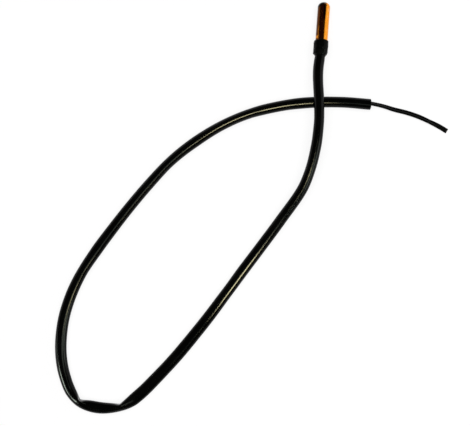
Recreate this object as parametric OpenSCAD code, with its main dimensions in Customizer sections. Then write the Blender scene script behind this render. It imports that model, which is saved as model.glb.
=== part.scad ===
// Pipe temperature sensor: a 6 x 25 mm copper probe head with a thermistor potted
// inside it, on a long hollow plastic sleeve that lies in a loop on the floor and
// crosses over itself beside the probe. A flat two-core lead comes out of the
// sleeve's cut mouth. Millimetres, +Z up, the probe's tip towards +Y. The origin
// is on the floor, under the middle of the probe head.

/* [Probe tube] */
// Outside diameter of the copper tube
tube_od = 6; // [5.6:0.1:8]
// Overall length of the copper tube
tube_len = 25; // [22:0.5:40]
// Wall of the copper tube
tube_wall = 0.4; // [0.3:0.05:0.6]
// Thickness of the tube's closed end
tube_end = 0.6; // [0.4:0.1:1]
// Radius of the dome round the closed end
tube_round = 2.6; // [1.5:0.1:2.7]
// Radius of the roller that presses the stop groove into the tube
groove_round = 0.6; // [0.5:0.05:0.9]
// Depth of the stop groove
groove_depth = 0.25; // [0.2:0.05:0.3]
// How far the probe's tip leans down to the floor, in degrees
probe_tilt = 6; // [5:0.5:7]

/* [Collar] */
// Wall of the collar where it grips the tube
collar_wall = 0.35; // [0.2:0.05:0.8]
// How much thicker the collar is at its front lip
collar_swell = 0.1; // [0:0.05:0.3]
// Radius of the collar's front lip
lip_round = 0.4; // [0.1:0.05:0.6]
// Length of the shoulder where the collar draws in behind the tube
shoulder_len = 1.3; // [0.8:0.1:2]
// Length of the collar's tail that grips the sleeve behind the shoulder
tail_flat = 0.4; // [0.2:0.1:3]
// Wall of the collar's tail
tail_wall = 0.2; // [0.1:0.05:0.4]

/* [Sleeve and lead] */
// Wall of the hollow sleeve
sleeve_wall = 0.5; // [0.3:0.05:0.6]
// How deep the sleeve's end sits in the copper tube
sleeve_depth = 4.7; // [3:0.1:6]
// Straight length of the sleeve behind the collar
sleeve_straight = 3; // [2:0.5:5]
// Width of the flat lead
lead_w = 2.2; // [1.8:0.1:2.6]
// Thickness of the flat lead
lead_t = 1.1; // [0.9:0.05:1.3]
// How much of the lead's insulation the resin holds
lead_hold = 3; // [2:0.2:4]

/* [Thermistor] */
// Diameter of the coated bead
bead_d = 2.5; // [2:0.1:3]
// Length of the bead
bead_len = 4.2; // [3.4:0.1:5]
// Gap from the tube's closed end to the bead
bead_gap = 0.6; // [0.3:0.1:1.2]
// Thickness of the coating outside the legs, at the bead's tail
bead_skin = 0.2; // [0.1:0.05:0.3]
// Width of the thermistor chip's square face
chip_w = 1; // [0.8:0.1:1.2]
// Thickness of the thermistor chip
chip_t = 0.5; // [0.4:0.05:0.6]
// Diameter of the thermistor's legs
leg_d = 0.4; // [0.3:0.05:0.5]

/* [Splices] */
// Diameter of the lead's bare conductors
wire_d = 0.5; // [0.4:0.05:0.6]
// Wall of a crimped splice barrel
barrel_wall = 0.25; // [0.15:0.05:0.3]
// Length of a splice barrel
barrel_len = 4; // [3:0.2:5]
// Wall of the insulating cover over a splice
cover_wall = 0.25; // [0.15:0.05:0.3]
// How far the cover reaches past each end of its barrel
cover_over = 0.6; // [0.3:0.1:0.8]
// Straight length of wire at each end of a bend
wire_run = 0.8; // [0.4:0.1:1]

/* [Clearances] */
// Gap all round between the sleeve and the tube that it sits in
sleeve_gap = 0.1; // [0.05:0.05:0.2]
// Gap between pieces that are shrunk or crimped together, or that meet end to end
fit_gap = 0.05; // [0.02:0.01:0.08]
// How much of the stop groove shows in front of the collar
groove_show = 0.1; // [0.1:0.05:0.3]
// Gap all round between the resin and what it touches
resin_gap = 0.02; // [0.01:0.01:0.05]
// Gap between the ends of the two wires inside a splice
wire_gap = 0.2; // [0.1:0.1:0.6]
// Gap between the two covered splices
cover_gap = 0.2; // [0.1:0.1:0.4]
// Gap between the sleeve's two stretches where it crosses over itself
cross_gap = 0.2; // [0.1:0.1:1]
// Gap between the lead and the inside of the sleeve
lead_gap = 0.05; // [0.02:0.01:0.2]

/* [Hidden] */
$fn = 64;

// A cut runs this far past the face that it opens
over = 1;

// Probe tube, and the sleeve of the size that fits in it
tube_r = tube_od / 2;
bore_r = tube_r - tube_wall;
bore_round = tube_round - tube_wall;
sleeve_r = bore_r - sleeve_gap;
hose_r = sleeve_r - sleeve_wall;
sleeve_start = tube_len - sleeve_depth;

// The rolled groove stands up as a bead inside the tube, and the sleeve stops at it
bump_round = groove_round + tube_wall;
groove_half = sqrt(pow(groove_round, 2) - pow(groove_round - groove_depth, 2));
bump_half = sqrt(pow(bump_round, 2) - pow(bump_round - groove_depth, 2));
groove_mid = sleeve_start - fit_gap - bump_half;

// The collar covers the groove and the rest of the tube, and grips the sleeve
collar_start = groove_mid - groove_half + groove_show;
head_len = tube_len + shoulder_len + tail_flat;
grip_r = tube_r + fit_gap + collar_wall;
lip_r = grip_r + collar_swell;
lip_arc = min(lip_round, collar_wall + collar_swell);
tail_bore_r = sleeve_r + fit_gap;
tail_r = tail_bore_r + tail_wall;

// Bead, with the chip at the middle of its round nose
bead_r = bead_d / 2;
bead_start = tube_end + bead_gap;
bead_end = bead_start + bead_len;
chip_mid = bead_start + bead_r;
leg_x = (chip_t + leg_d) / 2;
bead_tail_r = leg_x + leg_d / 2 + bead_skin;

// Splices, halfway between the bead and the end of the lead's insulation
lead_start = sleeve_start - lead_hold;
splice_mid = (bead_end + lead_start) / 2;
barrel_bore_r = max(leg_d, wire_d) / 2 + fit_gap;
barrel_r = barrel_bore_r + barrel_wall;
cover_bore_r = barrel_r + fit_gap;
cover_r = cover_bore_r + cover_wall;
cover_len = barrel_len + 2 * cover_over;
splice_x = cover_r + cover_gap / 2;
core_x = lead_w / 4;

// The tip's dome touches the floor, and the head's middle is over the origin
dome_flat = tube_r - tube_round;
tip_z = tube_round + dome_flat * cos(probe_tilt) - tube_round * sin(probe_tilt);
tip_reach = dome_flat * sin(probe_tilt) + tube_round * (1 - cos(probe_tilt));
tail_reach = head_len * cos(probe_tilt) + tail_r * sin(probe_tilt);
tip_y = (tail_reach - tip_reach) / 2;

// Sides of the sleeve's section, and the least radius of its bore between them
sleeve_sides = 12;
bore_flat_r = hose_r * cos(180 / sleeve_sides);
// The lead lies on the floor of the sleeve's bore
lead_drop = sqrt(pow(bore_flat_r, 2) - pow(lead_w / 2, 2)) - lead_t / 2 - lead_gap;
// Number of route points over which the lead sinks from the bore's middle to its floor
lead_sink = 3;
// Height of the sleeve's rise where it lies across its own lower stretch
hump = 2 * sleeve_r + cross_gap;
// The sleeve leaves the collar in line with the probe as far as this point
leaving_x = -0.3;
leaving_y = -24;

// Where the sleeve runs: across, along, and how high as a share of the hump
sleeve_points = [
    [1, -36, 1],
    [1.5, -47, 1.05],
    [1.5, -57.5, 0.95],
    [-1, -70, 0.7],
    [-6, -82.5, 0.4],
    [-13, -94.5, 0.15],
    [-20, -106, 0.03],
    [-27.5, -117.5, 0],
    [-35, -129, 0],
    [-42.5, -141.5, 0],
    [-50.5, -153.5, 0],
    [-59, -165.5, 0],
    [-68, -177, 0],
    [-76, -185.5, 0],
    [-84, -191, 0],
    [-93, -193, 0],
    [-101.5, -191.5, 0],
    [-108.5, -186.5, 0],
    [-112.5, -178, 0],
    [-115, -167.5, 0],
    [-115.5, -155, 0],
    [-113, -141.5, 0],
    [-108.5, -129, 0],
    [-102, -117, 0],
    [-94.5, -105, 0],
    [-86.5, -93, 0],
    [-78.5, -82, 0],
    [-69, -70.5, 0],
    [-58, -60, 0],
    [-46, -51, 0],
    [-33, -44, 0],
    [-19, -39, 0],
    [-4, -36, 0],
    [12.5, -34.5, 0],
    [26.5, -34.5, 0]
];

// Where the lead runs outside the sleeve: across, along, and how high as a share
// of its fall from the sleeve's mouth to the floor
lead_points = [
    [32.5, -35, 0.4],
    [38.5, -36, 0.1],
    [44.5, -37, 0],
    [50.5, -38.5, 0],
    [56, -40.5, 0],
    [61, -42.5, 0],
    [65, -44.5, 0]
];

// A point on the probe's axis, so far behind the tip
function axis_point(back) =
    [0, tip_y - back * cos(probe_tilt), tip_z + back * sin(probe_tilt)];

// Height of the probe's axis over a place along Y
function axis_height(y) = tip_z + (tip_y - y) * tan(probe_tilt);

function unit(v) = v / norm(v);

// Direction of a path at one of its points, from the points on both sides
function heading(path, i) =
    unit(path[min(i + 1, len(path) - 1)] - path[max(i - 1, 0)]);

// Level and upward directions square to a heading
function across(h) = unit(cross(h, [0, 0, 1]));
function upward(h) = cross(across(h), h);

sleeve_path = concat(
    [axis_point(sleeve_start),
     axis_point(head_len + sleeve_straight),
     [leaving_x, leaving_y, axis_height(leaving_y)]],
    [for (p = sleeve_points) [p[0], p[1], sleeve_r + p[2] * hump]]
);

// How far the lead lies below the sleeve's middle at one of the sleeve's points
function sunk(i) = lead_drop * min(1, i / lead_sink);

mouth_z = sleeve_r - lead_drop;
floor_z = lead_t / 2;
lead_path = concat(
    [axis_point(lead_start)],
    [for (i = [0 : len(sleeve_path) - 1])
        sleeve_path[i] - sunk(i) * upward(heading(sleeve_path, i))],
    [for (p = lead_points) [p[0], p[1], floor_z + p[2] * (mouth_z - floor_z)]]
);

// A place beside the probe's axis, so far across and so far behind the tip
function beside(x, back) = axis_point(back) + [x, 0, 0];

// A wire's path: straight, then a smooth double bend to another distance from the
// axis, then straight again. hand is 1 for the first wire of a pair, -1 for the other
bend_steps = 6;
function wire_path(hand, x_from, x_to, start, bend_start, bend_end, end) = concat(
    [beside(hand * x_from, start)],
    [for (k = [0 : bend_steps])
        beside(hand * (x_from + (x_to - x_from) * (1 - cos(180 * k / bend_steps)) / 2),
               bend_start + (bend_end - bend_start) * k / bend_steps)],
    [beside(hand * x_to, end)]
);

cover_start = splice_mid - cover_len / 2;
cover_end = splice_mid + cover_len / 2;
function leg_path(hand) = wire_path(
    hand, leg_x, splice_x, chip_mid - chip_w / 2,
    bead_end + wire_run, cover_start - wire_run, splice_mid - wire_gap / 2);
function conductor_path(hand) = wire_path(
    hand, splice_x, core_x, splice_mid + wire_gap / 2,
    cover_end + wire_run, lead_start - wire_run, lead_start);

// A round section, and the lead's flat one with its corners cut back to a quarter
function round_section(r) =
    [for (k = [0 : sleeve_sides - 1])
        r * [cos(k * 360 / sleeve_sides), sin(k * 360 / sleeve_sides)]];

function flat_section(w, t) = [
    [w / 2, t / 4], [w / 2 - t / 4, t / 2], [t / 4 - w / 2, t / 2], [-w / 2, t / 4],
    [-w / 2, -t / 4], [t / 4 - w / 2, -t / 2], [w / 2 - t / 4, -t / 2], [w / 2, -t / 4]
];

// Corners of one section after another along a path
function rings(path, section) =
    [for (i = [0 : len(path) - 1]) for (q = section)
        path[i] + q[0] * across(heading(path, i)) + q[1] * upward(heading(path, i))];

// Two triangles between four corners, and all of them between two rings
function pair(a, b, c, d) = [[a, b, c], [a, c, d]];
function band(first, second, sides) =
    [for (k = [0 : sides - 1]) for (f = pair(
        first + k, second + k,
        second + (k + 1) % sides, first + (k + 1) % sides)) f];

// A solid bar swept along a path
module swept_bar(path, section) {
    sides = len(section);
    last = (len(path) - 1) * sides;
    walls = [for (i = [0 : len(path) - 2])
        for (f = band((i + 1) * sides, i * sides, sides)) f];
    near_end = [[for (k = [sides - 1 : -1 : 0]) k]];
    far_end = [[for (k = [0 : sides - 1]) last + k]];
    polyhedron(rings(path, section), concat(walls, near_end, far_end));
}

// A hollow tube swept along a path, open at both ends
module swept_tube(path, outer, inner) {
    sides = len(outer);
    count = len(path);
    skip = count * sides;
    last = (count - 1) * sides;
    outside = [for (i = [0 : count - 2])
        for (f = band((i + 1) * sides, i * sides, sides)) f];
    inside = [for (i = [0 : count - 2])
        for (f = band(skip + i * sides, skip + (i + 1) * sides, sides)) f];
    near_end = band(0, skip, sides);
    far_end = band(skip + last, last, sides);
    polyhedron(concat(rings(path, outer), rings(path, inner)),
               concat(outside, inside, near_end, far_end));
}

// Places what is drawn along +Z on the probe's axis, so far behind the tip
module on_axis(back = 0) {
    translate(axis_point(back))
        rotate([90 - probe_tilt, 0, 0])
            children();
}

// Half the section of a round bar along +Z, with a domed first end and a rolled
// groove round it. start is how far behind the tip the section begins
module domed_half(r, start, length, dome, roller) {
    difference() {
        square([r, length]);
        difference() {
            translate([r - dome, 0])
                square(dome);
            translate([r - dome, dome])
                circle(dome);
        }
        translate([tube_r + groove_round - groove_depth, groove_mid - start])
            circle(roller);
    }
}

// What fills the tube's bore as far back as the given end, with a gap all round
module bore_form(end, gap) {
    start = tube_end + gap;
    on_axis(start)
        rotate_extrude()
            domed_half(bore_r - gap, start, end - start, bore_round - gap, bump_round + gap);
}

module pipe(r, bore, length) {
    difference() {
        cylinder(h = length, r = r);
        translate([0, 0, -over])
            cylinder(h = length + 2 * over, r = bore);
    }
}

module bead_form(grow) {
    nose = bead_r + grow;
    tail = bead_tail_r + grow;
    translate([0, 0, chip_mid])
        sphere(nose);
    translate([0, 0, chip_mid])
        cylinder(h = bead_end + grow - chip_mid, r1 = nose, r2 = tail);
}

module chip_form(grow) {
    translate([0, 0, chip_mid])
        cube([chip_t, chip_w, chip_w] + 2 * grow * [1, 1, 1], center = true);
}

module leg_form(hand, grow) {
    swept_bar(leg_path(hand), round_section(leg_d / 2 + grow));
}

module conductor_form(hand, grow) {
    swept_bar(conductor_path(hand), round_section(wire_d / 2 + grow));
}

module probe_tube() {
    color("#b8652a")
        difference() {
            on_axis()
                rotate_extrude()
                    domed_half(tube_r, 0, tube_len, tube_round, groove_round);
            bore_form(tube_len + over, 0);
        }
}

// The collar was shrunk over the end of the tube and draws in behind it on the sleeve
module collar() {
    shoulder = [for (a = [90 : -15 : 0])
        [tail_r + (grip_r - tail_r) * sin(a), tube_len + shoulder_len * cos(a)]];
    lip = [for (a = [0 : 15 : 90])
        [lip_r - lip_arc + lip_arc * sin(a), collar_start + lip_arc * (1 - cos(a))]];
    bore = [
        [tail_r, head_len],
        [tail_bore_r, head_len],
        [tail_bore_r, tube_len + fit_gap],
        [tube_r + fit_gap, tube_len + fit_gap],
        [tube_r + fit_gap, collar_start]
    ];
    color("#1c1e1b")
        on_axis()
            rotate_extrude()
                polygon(concat(lip, shoulder, bore));
}

module sleeve() {
    color("#0e0f0e")
        swept_tube(sleeve_path, round_section(sleeve_r), round_section(hose_r));
}

module lead() {
    color("#161616")
        swept_bar(lead_path, flat_section(lead_w, lead_t));
}

module thermistor_bead() {
    color("#20262e")
        difference() {
            on_axis()
                bead_form(0);
            on_axis()
                chip_form(0);
            for (hand = [1, -1])
                leg_form(hand, 0);
        }
}

module thermistor_chip() {
    color("#5a5a5e")
        on_axis()
            chip_form(0);
}

module thermistor_leg_a() {
    color("#c9ccd0")
        leg_form(1, 0);
}

module thermistor_leg_b() {
    color("#c9ccd0")
        leg_form(-1, 0);
}

module splice_barrel(hand) {
    color("#b9b6a8")
        on_axis(splice_mid - barrel_len / 2)
            translate([hand * splice_x, 0, 0])
                pipe(barrel_r, barrel_bore_r, barrel_len);
}

module splice_barrel_a() {
    splice_barrel(1);
}

module splice_barrel_b() {
    splice_barrel(-1);
}

module splice_cover(hand) {
    color("#e8e6dc")
        on_axis(cover_start)
            translate([hand * splice_x, 0, 0])
                pipe(cover_r, cover_bore_r, cover_len);
}

module splice_cover_a() {
    splice_cover(1);
}

module splice_cover_b() {
    splice_cover(-1);
}

module conductor_a() {
    color("#c47a3c")
        conductor_form(1, 0);
}

module conductor_b() {
    color("#c47a3c")
        conductor_form(-1, 0);
}

// The resin fills the tube as far as the sleeve and holds everything in its place
module potting() {
    color("#3a2a1a")
        difference() {
            bore_form(sleeve_start - resin_gap, resin_gap);
            on_axis()
                bead_form(resin_gap);
            for (hand = [1, -1]) {
                leg_form(hand, resin_gap);
                conductor_form(hand, resin_gap);
                on_axis(cover_start - resin_gap)
                    translate([hand * splice_x, 0, 0])
                        cylinder(h = cover_len + 2 * resin_gap, r = cover_r + resin_gap);
            }
            on_axis(lead_start - resin_gap)
                linear_extrude(lead_hold + over)
                    polygon(flat_section(lead_w + 2 * resin_gap, lead_t + 2 * resin_gap));
        }
}

probe_tube();
collar();
sleeve();
lead();
thermistor_bead();
thermistor_chip();
thermistor_leg_a();
thermistor_leg_b();
splice_barrel_a();
splice_barrel_b();
splice_cover_a();
splice_cover_b();
conductor_a();
conductor_b();
potting();
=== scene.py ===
# %% [markdown]
# # A copper pipe sensor on a kinked sleeve
#
# The object is a temperature probe for a pipe: a short copper tube, a shrunk
# black collar, a long hollow plastic sleeve that lies in one loop, and a thin
# flat lead that comes out of the sleeve's cut end. The CAD solids give every
# place and size. This file dresses them: it makes the visible pieces again with
# smooth surfaces, small dents and two kinks, and gives each one its finish.
# The first cell loads the CAD model, which stays where it is.

# %% The fixed frame
import math

import bpy
import numpy as np
from mathutils import Matrix, Vector


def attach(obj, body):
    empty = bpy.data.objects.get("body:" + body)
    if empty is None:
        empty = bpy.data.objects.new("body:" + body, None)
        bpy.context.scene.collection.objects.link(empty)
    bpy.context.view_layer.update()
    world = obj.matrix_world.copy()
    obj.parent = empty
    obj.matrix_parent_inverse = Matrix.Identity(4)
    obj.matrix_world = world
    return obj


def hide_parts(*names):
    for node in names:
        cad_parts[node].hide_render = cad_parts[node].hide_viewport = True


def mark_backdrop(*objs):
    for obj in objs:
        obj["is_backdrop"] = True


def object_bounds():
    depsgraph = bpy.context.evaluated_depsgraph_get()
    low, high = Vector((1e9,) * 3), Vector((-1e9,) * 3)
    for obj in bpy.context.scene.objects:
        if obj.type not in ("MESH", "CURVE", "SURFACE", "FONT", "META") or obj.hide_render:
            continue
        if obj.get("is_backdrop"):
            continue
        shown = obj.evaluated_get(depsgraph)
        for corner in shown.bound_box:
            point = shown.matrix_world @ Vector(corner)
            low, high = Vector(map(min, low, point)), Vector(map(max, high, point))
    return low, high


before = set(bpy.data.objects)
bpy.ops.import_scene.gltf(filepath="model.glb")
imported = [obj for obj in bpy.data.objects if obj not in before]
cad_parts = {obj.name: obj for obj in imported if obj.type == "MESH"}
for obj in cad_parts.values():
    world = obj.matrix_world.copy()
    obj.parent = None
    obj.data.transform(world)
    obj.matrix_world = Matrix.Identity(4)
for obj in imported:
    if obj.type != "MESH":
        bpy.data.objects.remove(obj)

CAD_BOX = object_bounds()
MM = 0.001
bpy.context.scene.view_settings.view_transform = "Standard"
print("CAD nodes:", ", ".join(sorted(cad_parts)))

# %% [markdown]
# ## Camera
#
# The picture was taken from straight above. A camera could be made with an
# operator, but a camera that is measured is best made from its numbers: its
# height sets the perspective and its turn sets which way the probe leans. Its
# lens and place are chosen so that one picture dot is 0.49 mm on the floor.

# %% Camera
LENS, SENSOR = 100, 36
CAMERA_AT = (-0.0352, -0.09261, 0.6425)
CAMERA_TURN = math.radians(4.5)

camera_data = bpy.data.cameras.new("overhead_camera")
camera_data.lens = LENS
camera_data.sensor_width = SENSOR
camera = bpy.data.objects.new("overhead_camera", camera_data)
camera.location = CAMERA_AT
camera.rotation_euler = (0, 0, CAMERA_TURN)
bpy.context.scene.collection.objects.link(camera)
bpy.context.scene.camera = camera
print("camera", round(camera.location.z / MM), "mm above the floor")

# %% [markdown]
# ## The sleeve's route
#
# A cord is a fixed length of something flexible, so its route comes before its
# shape. These are the CAD route's own points. The CAD tube runs straight from
# point to point. A curve through the points looks like real tubing, and a
# Catmull-Rom curve is a good choice because it passes through every point and
# never swings far outside them. It is then cut into even steps.

# %% Route points
TILT = math.radians(6)
TIP = Vector((0, 13.3926, 2.72604)) * MM
SLEEVE_R = 2.5 * MM
# How high the upper stretch passes over the lower one
HUMP = 5.2 * MM
# Distances behind the tip: the collar's end, the sleeve's hidden end, and the end of the
# sleeve's straight stretch
HEAD_LEN = 26.7 * MM
SLEEVE_START = 20.3 * MM
STRAIGHT_END = 29.7 * MM


def on_axis(back):
    """A point on the probe's axis, so far behind the tip, in metres."""
    return TIP + back * Vector((0, -math.cos(TILT), math.sin(TILT)))


# The last place that is in line with the probe, seen from the side
leaving = Vector((-0.3, -24, 0)) * MM
leaving.z = TIP.z + (TIP.y - leaving.y) * math.tan(TILT)

# Across and along in millimetres, and height as a share of the hump
SLEEVE_POINTS = [
    (1, -36, 1), (1.5, -47, 1.05), (1.5, -57.5, 0.95), (-1, -70, 0.7),
    (-6, -82.5, 0.4), (-13, -94.5, 0.15), (-20, -106, 0.03), (-27.5, -117.5, 0),
    (-35, -129, 0), (-42.5, -141.5, 0), (-50.5, -153.5, 0), (-59, -165.5, 0),
    (-68, -177, 0), (-76, -185.5, 0), (-84, -191, 0), (-93, -193, 0),
    (-101.5, -191.5, 0), (-108.5, -186.5, 0), (-112.5, -178, 0),
    (-115, -167.5, 0), (-115.5, -155, 0), (-113, -141.5, 0), (-108.5, -129, 0),
    (-102, -117, 0), (-94.5, -105, 0), (-86.5, -93, 0), (-78.5, -82, 0),
    (-69, -70.5, 0), (-58, -60, 0), (-46, -51, 0), (-33, -44, 0), (-19, -39, 0),
    (-4, -36, 0), (12.5, -34.5, 0), (26.5, -34.5, 0),
]
sleeve_route = [on_axis(SLEEVE_START), on_axis(STRAIGHT_END), leaving] + [
    Vector((x * MM, y * MM, SLEEVE_R + share * HUMP)) for x, y, share in SLEEVE_POINTS
]
print("route points:", len(sleeve_route))

# %% Smooth curve
# Steps from one point of a curve to the next
STEPS_BETWEEN = 24


def between(t, u, i, j, a, b):
    """The place at u on the straight line from a, at knot i, to b, at knot j."""
    return ((t[j] - u) * a + (u - t[i]) * b) / (t[j] - t[i])


def smooth_line(points):
    """A curve through the points: its places, and the distance along it of each."""
    p = np.array([tuple(q) for q in points])
    p = np.vstack([2 * p[0] - p[1], p, 2 * p[-1] - p[-2]])
    places = []
    for i in range(1, len(p) - 2):
        a, b, c, d = p[i - 1:i + 3]
        t = np.cumsum([0] + [math.sqrt(np.linalg.norm(v)) for v in (b - a, c - b, d - c)])
        for u in np.linspace(t[1], t[2], STEPS_BETWEEN, endpoint=False):
            bc = between(t, u, 1, 2, b, c)
            abc = between(t, u, 0, 2, between(t, u, 0, 1, a, b), bc)
            bcd = between(t, u, 1, 3, bc, between(t, u, 2, 3, c, d))
            places.append(between(t, u, 1, 2, abc, bcd))
    places = np.array(places + [p[-2]])
    steps = np.linalg.norm(np.diff(places, axis=0), axis=1)
    return places, np.concatenate([[0], np.cumsum(steps)])


def cut_line(line, stations):
    """The places on a smooth line at the given distances along it."""
    places, along = line
    return np.stack([np.interp(stations, along, places[:, k]) for k in range(3)], 1)


sleeve_curve = smooth_line(sleeve_route)
SLEEVE_LEN = float(sleeve_curve[1][-1])
print("sleeve", round(SLEEVE_LEN / MM, 1), "mm long")

# %% [markdown]
# ## Sections along the sleeve
#
# A soft tube isn't round all the way. A bend squeezes it, so it is a little
# narrower there and taller, and at two places the bottom bend has kinked it. A
# curve object with a bevel could only keep one round section, so the sleeve is
# a mesh of many rings. Each ring is an oval whose wall keeps its length. At a
# kink the wall on the inside of the bend is pushed in, and the section becomes
# a letter D that stands a little taller.

# %% Sleeve widths and kinks
# How wide the sleeve looks from above at distances along it, all in millimetres
WIDTHS = [
    (0, 5), (6.5, 5), (9, 5.2), (14, 5.15), (20, 5.05), (26, 5.1), (38, 5), (50, 5.2),
    (62, 5.1), (74, 5.3), (98, 5.47), (122, 5.6), (134, 5.47), (146, 5.68), (170, 5.88),
    (182, 5.83), (198, 6.1), (205, 6.4), (212, 5.8), (218, 5.9), (226, 6.2), (231, 6.3),
    (240, 5.85), (243, 5.7), (266, 5.68), (290, 5.53), (302, 5.22), (314, 5.6),
    (332, 5.33), (356, 5.13), (368, 4.93), (386, 5.23), (398, 4.9), (408, 4.75),
    (416, 4.8), (422, 5.12), (434, 5.23), (441, 5.48), (458, 5.3), (476, 5.4),
]
# Each kink, in millimetres: distance along, how deep the wall is pushed in, and how far
# away that has faded to about a third. The very bottom of a kink is a little blunt
KINKS = [(212.2, 2.1, 4.4), (232.9, 3.0, 3.0)]
BLUNT = 0.35


def sleeve_width(s):
    """The sleeve's width at a distance along it, both in metres."""
    return float(np.interp(s / MM, *zip(*WIDTHS))) * MM


def kink_depth(s):
    """How far the inner wall is pushed in at a distance along the sleeve."""
    return MM * sum(
        deep * math.exp(-math.hypot(s / MM - at, BLUNT) / fade) for at, deep, fade in KINKS
    )


for at, deep, fade in KINKS:
    left = sleeve_width(at * MM) - kink_depth(at * MM)
    print("kink at", at, "mm leaves", round(left / MM, 2), "mm of the sleeve's width")

# %% Sleeve sections
SIDES = 40
# The collar squeezes the sleeve. Past it the sleeve grows a little fuller, over this
# stretch in millimetres and by this much
FULLER_OVER = (6.5, 12)
FULLER = 0.1 * MM
# As shares of the dent: how much taller a dented section is, and how much deeper the
# middle of its dented side
TALLER = 0.22
HOLLOWED = 0.2


def sleeve_size(s):
    """Half width, half height and dent of the section at a distance along."""
    dent = kink_depth(s)
    half_w = sleeve_width(s) / 2
    round_r = SLEEVE_R + float(np.interp(s / MM, FULLER_OVER, (0, FULLER)))
    return half_w, 2 * round_r - half_w + TALLER * dent, dent


def sleeve_section(s, inset=0):
    """Corners of a section, (across, up), with + across towards the loop's inside."""
    half_w, half_h, dent = sleeve_size(s)
    corners = []
    for k in range(SIDES):
        turn = 2 * math.pi * k / SIDES
        x, y = half_w * math.cos(turn), half_h * math.sin(turn)
        if x > 0:
            x *= 1 - dent / half_w
            x -= HOLLOWED * dent * math.cos(turn) ** 4
        corners.append(Vector((x, y)))
    middle = Vector((-dent / 2, 0))
    return [c + inset * (middle - c).normalized() for c in corners]


print("a section has", SIDES, "corners")

# %% [markdown]
# ## Rings on a line
#
# A ring needs to know which way is across the line and which way is up. A ring
# that followed only the line's own bending would roll over at each change of
# the bend, so the way across is always kept level with the floor. One helper
# then joins rings into a skin, with a UV map in real size that runs along and
# round the tube, so that scratches and draw marks follow every bend.

# %% Ring frames


def frames(places):
    """At each place of a line: the level way across it, and the way up from it."""
    ahead = np.gradient(places, axis=0)
    ahead /= np.linalg.norm(ahead, axis=1)[:, None]
    side = np.cross(ahead, [0, 0, 1])
    side /= np.linalg.norm(side, axis=1)[:, None]
    return side, np.cross(side, ahead)


def on_plane(place, side, up, corners):
    """Corners (across, up) laid out round a place."""
    return [Vector(place) + c[0] * Vector(side) + c[1] * Vector(up) for c in corners]


print("ring helpers ready")

# %% Skin helper
# Metres in one unit of the map
UV_UNIT = 0.1


def skin(name, loops, stations, girth, closed):
    """A mesh piece from rings with equal numbers of corners, with an along-and-round map."""
    n = len(loops[0])
    verts = [tuple(v) for loop in loops for v in loop]
    rows = len(loops) if closed else len(loops) - 1
    faces, uvs = [], []
    for i in range(rows):
        j = (i + 1) % len(loops)
        for k in range(n):
            m = (k + 1) % n
            faces.append((i * n + k, j * n + k, j * n + m, i * n + m))
            low, high = girth * k / n / UV_UNIT, girth * (k + 1) / n / UV_UNIT
            u, w = stations[i] / UV_UNIT, stations[j] / UV_UNIT
            uvs += [(u, low), (w, low), (w, high), (u, high)]
    if not closed:
        faces += [tuple(range(n)), tuple(reversed(range(rows * n, rows * n + n)))]
        uvs += [(0, girth * k / n / UV_UNIT) for k in range(n)] * 2
    mesh = bpy.data.meshes.new(name)
    mesh.from_pydata(verts, [], faces)
    layer = mesh.uv_layers.new(name="along_and_round")
    layer.data.foreach_set("uv", [x for uv in uvs for x in uv])
    mesh.shade_smooth()
    piece = bpy.data.objects.new(name, mesh)
    bpy.context.scene.collection.objects.link(piece)
    return piece


print("one unit of the map is", UV_UNIT, "m")

# %% [markdown]
# ## The sleeve
#
# The sleeve is hollow, so its skin goes out along the outside, round the cut
# lip and back along the bore. Rings lie closer together at the kinks, where the
# shape changes fast. A taller section also stands higher, because it rests on
# its own lowest side.

# %% Sleeve stations
COARSE, FINE = 1.25 * MM, 0.5 * MM
# How many times its own fading distance a kink needs fine rings
KINK_REACH = 3
stations = [0.0]
while stations[-1] < SLEEVE_LEN - COARSE:
    kinked = any(abs(stations[-1] / MM - at) < KINK_REACH * fade for at, deep, fade in KINKS)
    stations.append(stations[-1] + (FINE if kinked else COARSE))
stations.append(SLEEVE_LEN)
sleeve_line = cut_line(sleeve_curve, stations)
for i, s in enumerate(stations):
    sleeve_line[i][2] += sleeve_size(s)[1] - SLEEVE_R
sleeve_side, sleeve_up = frames(sleeve_line)
print("sleeve rings:", len(stations))

# %% [markdown]
# ## Small swings and the cut end
#
# Real tubing is never as even as a curve through a few points. Some low swings,
# all under half a millimetre, move the rings sideways. The rings could be moved
# one by one, but a swing with a smooth rise and fall leaves no bump.
# The end was cut with a blade, so it isn't flat: it bows out in its middle and
# leans, with its lower lip ahead of its upper lip. The cut's edges are broken.

# %% Sleeve nudges
# Each swing, in millimetres: distance along, how far towards + across, and how wide
NUDGES = [
    (11, 0.45, 5), (38, -0.25, 6), (52, 0.3, 7), (72, -0.42, 7), (105, 0.15, 9),
    (132, -0.3, 8), (188, 0.18, 8), (206, -0.2, 4), (216, 0.38, 7), (227, 0.3, 7),
    (239, 0.38, 7), (270, 0.2, 7), (372, -0.27, 14), (428, 0.2, 9),
]


def nudge(s):
    """The sum of the swings at a distance along the sleeve, both in metres."""
    return MM * sum(far * math.exp(-(((s / MM - at) / wide) ** 2)) for at, far, wide in NUDGES)


for i, s in enumerate(stations):
    sleeve_line[i] += nudge(s) * sleeve_side[i]
sleeve_side, sleeve_up = frames(sleeve_line)
print("largest nudge", max(abs(far) for at, far, wide in NUDGES), "mm")

# %% Sleeve piece
WALL = 0.5 * MM
# The size of the broken edge, how far the cut bows out, and its lean a unit of height
LIP = 0.07 * MM
BOW = 0.45 * MM
SLANT = 0.1
last = len(stations) - 1


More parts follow.
